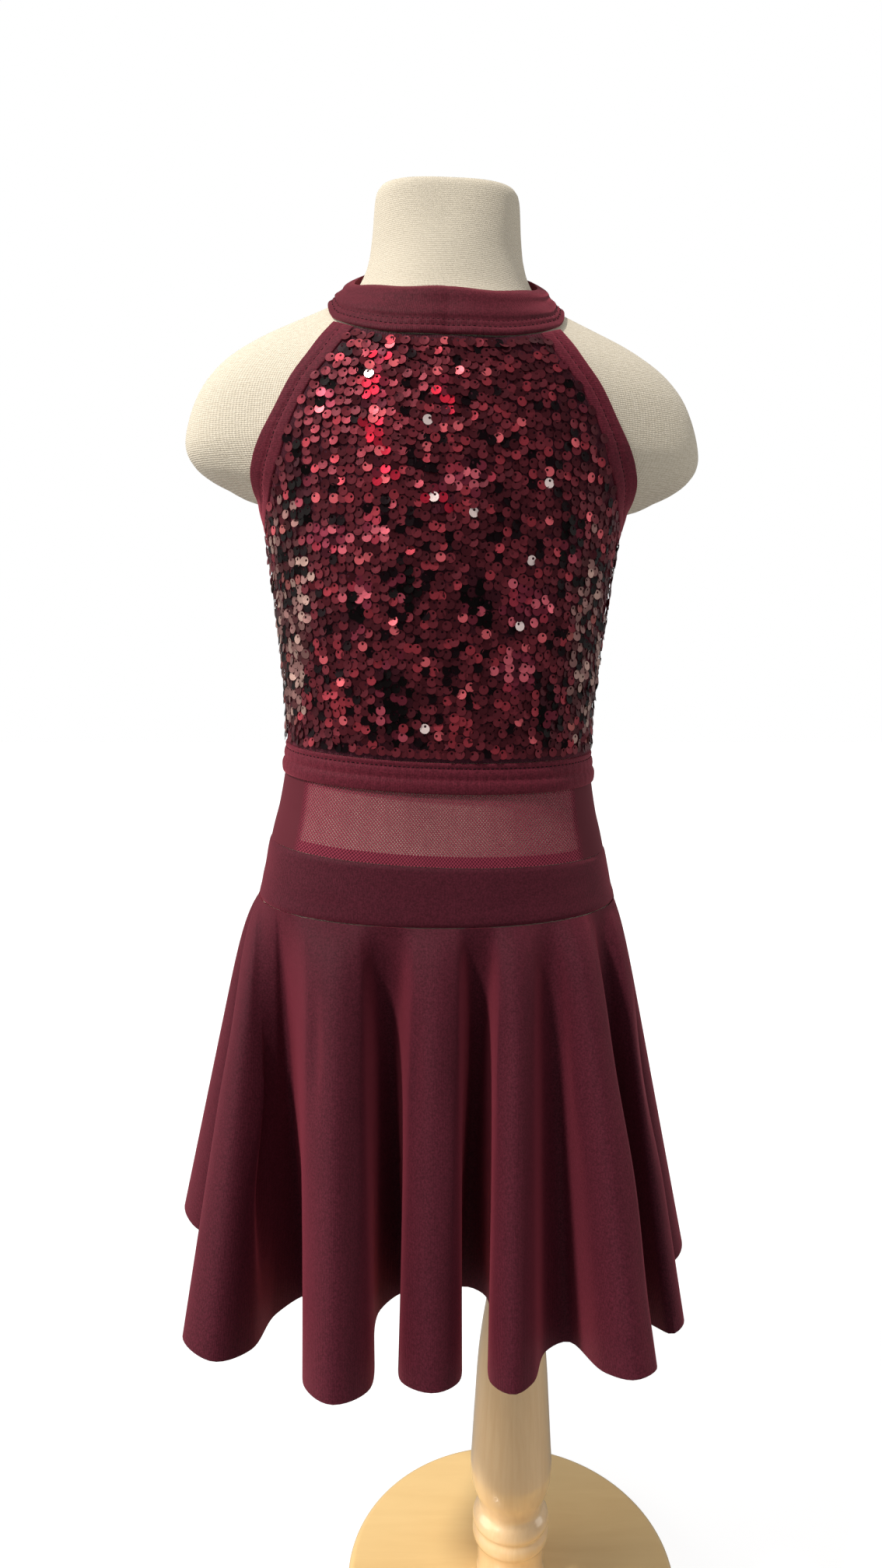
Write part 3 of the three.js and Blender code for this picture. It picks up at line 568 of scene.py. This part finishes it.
def joined_copies(shape, matrices):
    """One bmesh made of a copy of the shape at each matrix."""
    source = bpy.data.meshes.new("shape")
    shape.to_mesh(source)
    shape.free()
    corners = np.array([(*vert.co, 1.0) for vert in source.vertices])
    places = np.array([[list(row) for row in matrix] for matrix in matrices])
    points = np.einsum("nij,kj->nki", places, corners)[:, :, :3].reshape(-1, 3)
    faces = [tuple(face.vertices) for face in source.polygons]
    bpy.data.meshes.remove(source)
    starts = range(0, len(points), len(corners))
    joined = bpy.data.meshes.new("joined")
    joined.from_pydata(points.tolist(), [],
                       [tuple(start + i for i in face) for start in starts for face in faces])
    bm = bmesh.new()
    bm.from_mesh(joined)
    bpy.data.meshes.remove(joined)
    return bm


def facing(centre, beside, above):
    """How something lies on a surface: X towards a point beside it, Z out of the surface. The
    second value is that way out."""
    along = (beside - centre).normalized()
    up = (above - centre).normalized()
    out = along.cross(up).normalized()
    return Matrix((along, out.cross(along), out)).transposed().to_4x4(), out


def stitch_row(name, surface, v, length, ends=(0.0, 1.0)):
    """A row of lock stitches along a trim, half sunk into the cloth."""
    step = 0.002
    count = int(length / STITCH["pitch"])
    size = Matrix.Diagonal((STITCH["half_length"] * MM, STITCH["half_width"] * MM,
                            STITCH["half_height"] * MM, 1.0))
    matrices = []
    for i in range(count):
        u = mix(ends[0], ends[1], (i + 0.5) / count)
        centre = surface(u, v)
        turned, _ = facing(centre, surface(u + step, v), surface(u, v + step))
        matrices.append(Matrix.Translation(centre) @ turned @ size)
    shape = bmesh.new()
    bmesh.ops.create_icosphere(shape, subdivisions=1, radius=1.0)
    return add_piece(name, joined_copies(shape, matrices), THREAD, sharp=180)


JERSEY = knitted("burgundy_jersey", "#4f1b28", "#441723")
TRIM = knitted("burgundy_trim_jersey", "#64222f", "#581c2a", bump=0.35, roughness=0.6)
# The collar's jersey is a lighter copy of the dress's: painted light for its upward face, which
# catches the lamps.
COLLAR_JERSEY_PAINTED_LIGHT = knitted("burgundy_collar_jersey_painted_light", "#5a1f2b", "#4c1a25", bump=0.35, sheen=0.6)
# The net under the sequins is burgundy, made darker still as painted shade for the shadowed gaps
# between the sequins.
NET_WITH_PAINTED_SHADE = knitted("sequin_ground_net_painted_shade", "#451b29", "#34131e", wales_mm=1.6, bump=0.5)
THREAD = knitted("polyester_thread", "#220a11", "#1a070d", bump=0.1, sheen=0.0)
MESH = sheer_mesh()
LINEN = linen()
FOIL = sequin_foil()
# The stem's wood is a paler copy of the base's: painted light that lifts it where the skirt shades
# it.
STEM_WOOD_PAINTED_LIGHT = lacquered_wood("lacquered_rubberwood_stem_painted_light", (260.0, 260.0, 14.0),
                           "#f5cf9c", "#ebc08a", "#f8d8a8")
BASE_WOOD = lacquered_wood("lacquered_rubberwood_base", (9.0, 80.0, 60.0),
                           "#efc783", "#e6bb77", "#f3d193")


def dress_form():
    """The padded torso with its neck and short shoulder caps, covered in linen."""
    crown_height = 942.0

    def place(u, v):
        z = mix(TORSO[0].z, TORSO[-1].z, v)
        angle = round_angle(u)
        return polar(angle, form_radius(angle, z), z)

    bm = surface_grid(144, 210, place, (0.66, 0.52), joins_round=True)
    top = [edge for edge in bm.edges
           if edge.is_boundary and edge.verts[0].co.z > crown_height * MM]
    crown = bmesh.ops.contextual_create(bm, geom=top)["faces"]
    middle = bmesh.ops.poke(bm, faces=crown)["verts"]
    middle[0].co.z = FORM_TOP * MM
    close_ends(bm)
    add_piece("linen_form", bm, LINEN, "dress_form")


def turned_piece(name, outline, steps, material, replaces):
    """A solid turned on the stem's axis from an outline of heights and radii."""
    bm = bmesh.new()
    verts = [bm.verts.new((radius * MM, 0, z * MM)) for z, radius in outline]
    edges = [bm.edges.new(pair) for pair in zip(verts, verts[1:])]
    bmesh.ops.spin(bm, geom=verts + edges, cent=(0, 0, 0), axis=(0, 0, 1), angle=2 * math.pi,
                   steps=steps, use_merge=True, use_duplicate=False)
    bmesh.ops.remove_doubles(bm, verts=bm.verts, dist=1e-6)
    bmesh.ops.recalc_face_normals(bm, faces=bm.faces)
    add_piece(name, bm, material, replaces, sharp=40)


def stem():
    """The stem: turned beads above the base, then a long taper up into the form."""
    beads_end = 130
    outline = [(STEM_OUTLINE[0].z, 0.0)]
    for low, high in zip(STEM_OUTLINE, STEM_OUTLINE[1:]):
        parts = 5 if high.z < beads_end else 8
        outline += [(z, eased(STEM_OUTLINE, "z", "radius", z))
                    for z in (mix(low.z, high.z, i / parts) for i in range(parts))]
    outline += [STEM_OUTLINE[-1], (STEM_OUTLINE[-1].z, 0.0)]
    turned_piece("turned_stem", outline, 96, STEM_WOOD_PAINTED_LIGHT, "form_stem")


def base():
    """The round base, its edges rounded over."""
    flat, parts = BASE_RADIUS - BASE_EDGE, 8
    outline = [(0.0, 0.0)]
    for centre, start in ((BASE_EDGE, -90), (BASE_HEIGHT - BASE_EDGE, 0)):
        for i in range(parts + 1):
            angle = math.radians(start + 90 * i / parts)
            outline.append((centre + BASE_EDGE * math.sin(angle),
                            flat + BASE_EDGE * math.cos(angle)))
    outline.append((BASE_HEIGHT, 0.0))
    turned_piece("round_base", outline, 160, BASE_WOOD, "form_base")


def collar():
    """The doubled stand collar: it rolls over softly and is topstitched twice along its foot."""
    dent, wave = 1.3, 1.4
    pucker, puckers, pucker_up, pucker_wide = 0.25, 70, 0.24, 0.09

    def proud_at(angle, up):
        dents = dent * around(angle, up, 2.4) * math.sin(math.pi * up) ** 2
        drawn = math.sin(puckers * angle) * math.exp(-((up - pucker_up) / pucker_wide) ** 2)
        return eased(COLLAR_FACE, "up", "proud", up) + dents + pucker * drawn

    def face(u, up, out=0.0):
        angle = round_angle(u)
        waves = wave * around(angle, 5.0, 1.7) * up ** 3
        z = mix(collar_edge("low_z", angle), collar_edge("high_z", angle) + waves, up)
        radius = mix(collar_edge("low_r", angle), collar_edge("high_r", angle), up)
        return polar(angle, radius + proud_at(angle, up) + out, z)

    def section(u, v):
        across, share = padded_section(v, -1.0, 1.0, 0.45)
        depth = COLLAR_WALL + proud_at(round_angle(u), across)
        return face(u, across, (share - 1) / 2 * depth)

    bm = surface_grid(300, 72, section, (0.43, 0.08), joins_round=True, joins_over=True)
    piece = add_piece("rolled_collar", bm, COLLAR_JERSEY_PAINTED_LIGHT, "collar", sharp=180)
    rows = [stitch_row(f"collar_stitches_{name}", face, up, 430)
            for name, up in COLLAR_STITCHES.items()]


def binding(name, side, replaces):
    """A folded strip round an armhole, stitched once along its middle."""
    row_at, puckers = 0.5, 44

    def face(u, across, out):
        station = armhole_station(u)
        degrees = mix(station["inner"][0], station["outer"][0], across)
        z = mix(station["inner"][1], station["outer"][1], across)
        return on_dress(side * math.radians(degrees), z, out)

    def outer_at(u, across):
        groove = math.exp(-((across - row_at) / 0.07) ** 2)
        drawn = math.sin(2 * math.pi * u * puckers) * math.exp(-((across - row_at) / 0.2) ** 2)
        return BINDING.outer - GROOVE * groove + PUCKER * drawn

    def section(u, v):
        across, _ = padded_section(v, 0, 1)
        return face(u, across, padded_section(v, BINDING.inner, outer_at(u, across))[1])

    bm = surface_grid(180, 36, section, (0.29, 0.03), joins_over=True)
    close_ends(bm)
    bmesh.ops.recalc_face_normals(bm, faces=bm.faces)
    piece = add_piece(name, bm, TRIM, replaces, sharp=80)
    row = stitch_row(name + "_stitches", lambda u, v: face(u, v, outer_at(u, v)), row_at, 280,
                     ends=(0.01, 0.985))


def round_surface(low, high, out):
    """A surface round the dress between two rings, out(u, v) millimetres off the form."""
    def place(u, v):
        angle = round_angle(u)
        z = mix(level_at(low, angle) + SEAM / 2, level_at(high, angle) - SEAM / 2, v)
        return on_dress(angle, z, out(u, v))
    return place


def waist_band():
    """The doubled band under the sequins, with two rows of stitches near its upper edge."""
    rows_at, puckers, bulge = {"upper": 0.83, "lower": 0.47}, 95, 0.6

    def outer_at(u, across):
        grooves = sum(math.exp(-((across - at) / 0.05) ** 2) for at in rows_at.values())
        drawn = math.sin(2 * math.pi * u * puckers) * math.sin(math.pi * across)
        rolled = math.sin(math.pi * min(across / rows_at["lower"], 1.0))
        return BAND.outer - GROOVE * grooves + PUCKER * drawn + bulge * rolled

    def section(u, v):
        across, _ = padded_section(v, 0, 1)
        out = padded_section(v, BAND.inner, outer_at(u, across))[1]
        return round_surface(BAND_BOTTOM, BAND_TOP, lambda *_: out)(u, across)

    bm = surface_grid(380, 44, section, (0.56, 0.04), joins_round=True, joins_over=True)
    piece = add_piece("waist_band_cloth", bm, TRIM, "waist_band", sharp=180)
    face = round_surface(BAND_BOTTOM, BAND_TOP, outer_at)
    rows = [stitch_row(f"band_stitches_{name}", face, at, 560) for name, at in rows_at.items()]


def midriff():
    """The tube of sheer mesh, with the yoke's seam allowance showing through its lower edge."""
    tube = round_surface(YOKE_TOP, BAND_BOTTOM, lambda u, v: MESH_TUBE.out)
    bm = surface_grid(260, 24, tube, MESH_SIZE, joins_round=True)
    piece = add_piece("power_mesh_tube", thicken(bm, MESH_TUBE.wall), MESH,
                      "midriff_mesh")
    top = YOKE_TOP._replace(side=YOKE_TOP.side + ALLOWANCE_HEIGHT)
    strip = surface_grid(200, 4, round_surface(YOKE_TOP, top, lambda u, v: ALLOWANCE.out),
                         (MESH_SIZE[0], 0.006), joins_round=True)
    allowance = add_piece("yoke_seam_allowance", thicken(strip, ALLOWANCE.wall), JERSEY)


def yoke():
    """The hip band, smooth over the form with its seams drawn in at both edges."""
    drawn, seam_wide, ease = 0.8, 0.035, 0.4

    def out(u, v):
        seams = math.exp(-(v / seam_wide) ** 2) + math.exp(-((1 - v) / seam_wide) ** 2)
        slack = around(round_angle(u), v, 3.0)
        return YOKE.out - drawn * seams + ease * slack * math.sin(math.pi * v)

    bm = surface_grid(260, 40, round_surface(YOKE_BOTTOM, YOKE_TOP, out), (0.61, 0.034),
                      joins_round=True)
    piece = add_piece("hip_yoke", thicken(bm, YOKE.wall), JERSEY, "yoke")


def station_at(degrees):
    """The share of the way round the armhole where the binding's inner edge is at an angle."""
    low, high = 0.0, 1.0
    for _ in range(30):
        middle = (low + high) / 2
        if armhole_station(middle)["inner"][0] < degrees:
            low = middle
        else:
            high = middle
    return low


def panel_half(is_back):
    """Half a bodice panel's columns: the angle from the centre front and the top's height at a
    share of the way from the centre line to the side seam."""
    neck_share, half_seam = 0.35, 0.1
    start = 1.0 if is_back else 0.0
    end = station_at(SIDE_SEAM + half_seam if is_back else SIDE_SEAM - half_seam)
    first = armhole_station(start)["inner"][0]

    def column(share):
        if share < neck_share:
            degrees = mix(180.0 if is_back else 0.0, first, share / neck_share)
            return degrees, collar_edge("low_z", math.radians(degrees)) - COLLAR_CLEARANCE
        along = (share - neck_share) / (1 - neck_share)
        degrees, z = armhole_station(mix(start, end, along))["inner"]
        return degrees, z - PANEL_GAP
    return column


def bodice_panel(name, is_back, material, replaces, flat):
    """A bodice panel of one layer, from side seam to side seam."""
    half = panel_half(is_back)

    def place(u, v):
        share = abs(2 * u - 1)
        degrees, top = half(share)
        sign = math.copysign(1.0, 2 * u - 1)
        angle = math.radians(sign * degrees) * (-1 if is_back else 1)
        return on_dress(angle, mix(level_at(BAND_TOP, angle) + SEAM / 2, top, v), PANEL.out)

    bm = surface_grid(150, 70, place, flat)
    piece = add_piece(name, thicken(bm, PANEL.wall), material, replaces)


def panel_top(degrees):
    """The height of the front panel's upper edge at an angle from the centre front."""
    if degrees <= armhole_station(0.0)["inner"][0]:
        return collar_edge("low_z", math.radians(degrees)) - COLLAR_CLEARANCE
    return armhole_station(station_at(degrees))["inner"][1]


def sequin_shape():
    """One sequin, slightly cupped, with its thread hole near the edge."""
    bm = bmesh.new()
    rim, hole = (
        bmesh.ops.create_circle(bm, segments=sides, radius=SEQUIN[size] * MM)["verts"]
        for sides, size in ((SEQUIN["sides"], "radius"), (SEQUIN["sides"] // 2, "hole")))
    bmesh.ops.translate(bm, verts=hole, vec=(0, SEQUIN["hole_up"] * MM, -SEQUIN["cup"] * MM))
    loops = list({edge for vert in rim + hole for edge in vert.link_edges})
    bmesh.ops.bridge_loops(bm, edges=loops)
    bmesh.ops.recalc_face_normals(bm, faces=bm.faces)
    bmesh.ops.solidify(bm, geom=bm.faces[:], thickness=SEQUIN["thickness"] * MM)
    return bm


def painted_reflection_shade(rng, x, z):
    """A sequin's painted reflection: a shade drawn from those of the patch that it lies in, or a
    bright painted glint. A patch's edge is ragged.
    """
    kind = "ground"
    for patch in SEQUIN_PAINTED_REFLECTION_PATCHES:
        reach = math.hypot((x - patch.x) / patch.wide, (z - patch.z) / patch.high)
        if reach < PATCH_EDGE[0] + PATCH_EDGE[1] * rng.random():
            kind = patch.shades
    if any(math.hypot(x - glint_x, z - glint_z) < SEQUIN["radius"]
           for glint_x, glint_z in SEQUIN_PAINTED_GLINTS):
        kind = "painted_glint"
    codes, shares = zip(*SEQUIN_PAINTED_REFLECTION_SHADES[kind])
    return srgb(rng.choices(codes, shares)[0])


def sequins():
    """Strings of sequins down the front, from side seam to side seam."""
    rng = random.Random(SEED)
    net = STRINGS["net"]
    strings = int(2 * math.radians(SIDE_SEAM) * STRINGS["girth_radius"] / STRINGS["gap"])
    side = SIDE_SEAM - STRINGS["side_degrees"]
    matrices, shades = [], []
    for string in range(strings):
        degrees = mix(-side, side, string / (strings - 1))
        angle = math.radians(degrees)
        bottom = level_at(BAND_TOP, angle) + STRINGS["bottom"]
        top = panel_top(abs(degrees)) - STRINGS["top"]
        count = int((top - bottom) / STRINGS["pitch"])
        shift = rng.uniform(-UNEVEN["string"], UNEVEN["string"])
        for i in range(count + 1):
            place = i + 0.5 + (shift if 0 < i < count else 0)
            z = bottom + place * (top - bottom) / (count + 1)
            z += rng.uniform(-UNEVEN["up"], UNEVEN["up"])
            a = angle + rng.uniform(-UNEVEN["across"], UNEVEN["across"]) / UNEVEN["chest_radius"]
            centre = on_dress(a, z, net)
            turned, out = facing(centre, on_dress(a + 0.02, z, net), on_dress(a, z + 2, net))
            turns = [Matrix.Rotation(math.radians(rng.gauss(mean, spread)), 4, axis)
                     for axis, (mean, spread) in SEQUIN_TURNS.items()]
            lift = STRINGS["lift"] + rng.uniform(*UNEVEN["lift"])
            matrix = Matrix.Translation(centre + out * lift * MM) @ turned
            for turn in turns:
                matrix = matrix @ turn
            matrices.append(matrix)
            # Each sequin gets a painted reflection: a shade for the light that it would catch there.
            shades.append(painted_reflection_shade(rng, form_radius(a, z) * math.sin(a), z))
    shape = sequin_shape()
    corners = len(shape.verts)
    piece = add_piece("sequins", joined_copies(shape, matrices), FOIL, sharp=40)
    # The painted reflection shades, the same at every corner of a sequin.
    foil = piece.data.color_attributes.new("foil", "FLOAT_COLOR", "POINT")
    foil.data.foreach_set("color", np.repeat(np.array(shades), corners, axis=0).ravel())


def hem_curve():
    """The control points round the skirt: seam degrees, hem x and y, and spring."""
    points = []
    before = FOLDS[-1].valley_deg - 360
    for fold in FOLDS:
        start = before + VALLEY_DEGREES
        points.append((mix(start, fold.tip_deg, 0.6), *fold.first, fold.spring))
        points.append((fold.tip_deg, *fold.tip, fold.spring))
        points.append((mix(fold.tip_deg, fold.valley_deg, 0.4), *fold.second, fold.spring))
        points.append((fold.valley_deg, *fold.valley, fold.spring))
        points.append((fold.valley_deg + VALLEY_DEGREES, *fold.turn, fold.spring))
        before = fold.valley_deg
    return np.array(points, float)


def closed_spline(points, per_span):
    """A centripetal spline through closed control points. The first column is an angle, which
    gains a full turn each time round; the next two are a place, whose distances set the knots."""
    count = len(points)
    samples = []
    for i in range(count):
        p = []
        for k in (i - 1, i, i + 1, i + 2):
            point = points[k % count].copy()
            point[0] += 360 * (k // count)
            p.append(point)
        knots = [max(np.linalg.norm(p[k + 1][1:3] - p[k][1:3]), 1e-3) ** 0.5 for k in range(3)]
        middle = (p[2] - p[1]) / knots[1]
        start = (p[1] - p[0]) / knots[0] - (p[2] - p[0]) / (knots[0] + knots[1]) + middle
        end = middle - (p[3] - p[1]) / (knots[1] + knots[2]) + (p[3] - p[2]) / knots[2]
        start, end = start * knots[1], end * knots[1]
        for s in range(per_span):
            t = s / per_span
            samples.append(p[1] + start * t + (3 * (p[2] - p[1]) - 2 * start - end) * t * t
                           + (2 * (p[1] - p[2]) + start + end) * t ** 3)
    return np.array(samples)


def crease_out(degrees, down):
    """How far the listed creases carry the skirt out, in millimetres."""
    out = 0.0
    for crease in CREASES:
        along = (down - crease.top) / (crease.bottom - crease.top)
        off = (degrees - crease.deg + 180) % 360 - 180
        if 0 < along < 1 and abs(off) < 3 * crease.wide:
            across = math.exp(-(off / crease.wide) ** 2)
            out += crease.out * math.sin(math.pi * along) ** 2 * across
    return out


def skirt():
    """The circle skirt: smooth under the seam, then folds that deepen to the hem."""
    columns, rows, per_span = 600, 54, 24
    samples = closed_spline(hem_curve(), per_span)
    places = samples[:, 1:3]
    steps = np.linalg.norm(np.roll(places, -1, axis=0) - places, axis=1)
    along = np.concatenate([[0], np.cumsum(steps)])
    closed = np.vstack([samples, samples[0] + np.array([360, 0, 0, 0])])
    wanted = np.linspace(0, along[-1], columns + 1)
    table = np.stack([np.interp(wanted, along, closed[:, k]) for k in range(4)], axis=1)

    def place(u, v):
        degrees, hem_x, hem_y, spring = table[round(u * columns)]
        if u > 1 - 1e-6:
            degrees = table[0][0]
        angle = math.radians(degrees)
        down = 1 - v
        seam_z = level_at(YOKE_BOTTOM, angle) - SEAM / 2
        ring = form_radius(angle, seam_z) + SKIRT_EASE
        flare = math.hypot(hem_x, hem_y) - ring
        outward = max(min(flare / FULL_FLARE, 1.0), -1.0)
        sprung = (1 - math.exp(-down / SPRING_REACH)) * (1 - down)
        share = down ** (1 + VALLEY_SINK * max(-outward, 0)) + spring * max(outward, 0) * sprung
        x = mix(ring * math.sin(angle), hem_x, share)
        y = mix(-ring * math.cos(angle), hem_y, share)
        stretch = 1 + crease_out(degrees, down) / math.hypot(x, y)
        drop = math.sqrt(SKIRT_LENGTH ** 2 - flare ** 2)
        return placed(x * stretch, y * stretch, seam_z - drop * down)

    bm = surface_grid(columns, rows, place, (2.2, 0.25), joins_round=True)
    piece = add_piece("circle_skirt", thicken(bm, SKIRT_WALL), JERSEY, "skirt")


def studio():
    """A pale floor that glows as a light table does but throws little light up, the room's light,
    the lamps and the camera."""
    bm = bmesh.new()
    bmesh.ops.create_grid(bm, x_segments=1, y_segments=1, size=FLOOR["reach"])
    mesh = bpy.data.meshes.new("floor")
    bm.to_mesh(mesh)
    bm.free()
    floor = bpy.data.objects.new("floor", mesh)
    bpy.context.scene.collection.objects.link(floor)
    paint = new_material("white_studio_floor")
    seen = add_node(paint, "LightPath").outputs["Is Camera Ray"]
    glow = add_node(paint, "Math", {0: seen, 1: FLOOR["glow"]}, operation="MULTIPLY")
    mesh.materials.append(finish_material(paint, srgb(FLOOR["colour"]), Roughness=0.9,
                                          Emission_Strength=glow,
                                          Emission_Color=srgb("#ffffff")))

    # The world is white behind the object and dimmer as a light, so the folds keep their depth.
    world = bpy.data.worlds.new("studio")
    bpy.context.scene.world = world
    world.use_nodes = True
    world.node_tree.nodes.clear()
    seen = add_node(world, "LightPath").outputs["Is Camera Ray"]
    brightness = add_node(world, "MapRange", {"Value": seen, "To Min": ROOM_LIGHT, "To Max": 1.0})
    background = add_node(world, "Background", {"Color": srgb("#ffffff"), "Strength": brightness})
    add_node(world, "OutputWorld", {"Surface": background})
    bpy.context.scene.view_settings.view_transform = "Standard"

    for name, direction, spread, strength in LAMPS:
        light = bpy.data.lights.new(name, "SUN")
        light.angle = math.radians(spread)
        light.energy = strength
        light.color = srgb(LAMP_COLOUR)[:3]
        lamp = bpy.data.objects.new(name, light)
        bpy.context.scene.collection.objects.link(lamp)
        lamp.rotation_euler = Vector(direction).to_track_quat("Z", "Y").to_euler()

    camera = bpy.data.objects.new("camera", bpy.data.cameras.new("camera"))
    bpy.context.scene.collection.objects.link(camera)
    camera.location = CAMERA["place"]
    camera.rotation_euler = (math.radians(CAMERA["tilt"]), 0, 0)
    camera.data.sensor_fit = "VERTICAL"
    camera.data.sensor_height = CAMERA["sensor"]
    camera.data.lens = CAMERA["lens"]
    bpy.context.scene.camera = camera


studio()
dress_form()
stem()
base()
collar()
binding("armhole_binding_cloth_left", 1, "armhole_binding_left")
binding("armhole_binding_cloth_right", -1, "armhole_binding_right")
bodice_panel("bodice_front_net", False, NET_WITH_PAINTED_SHADE, "bodice_front", (0.34, 0.24))
bodice_panel("bodice_back_cloth", True, JERSEY, "bodice_back", (0.29, 0.27))
sequins()
waist_band()
midriff()
yoke()
skirt()
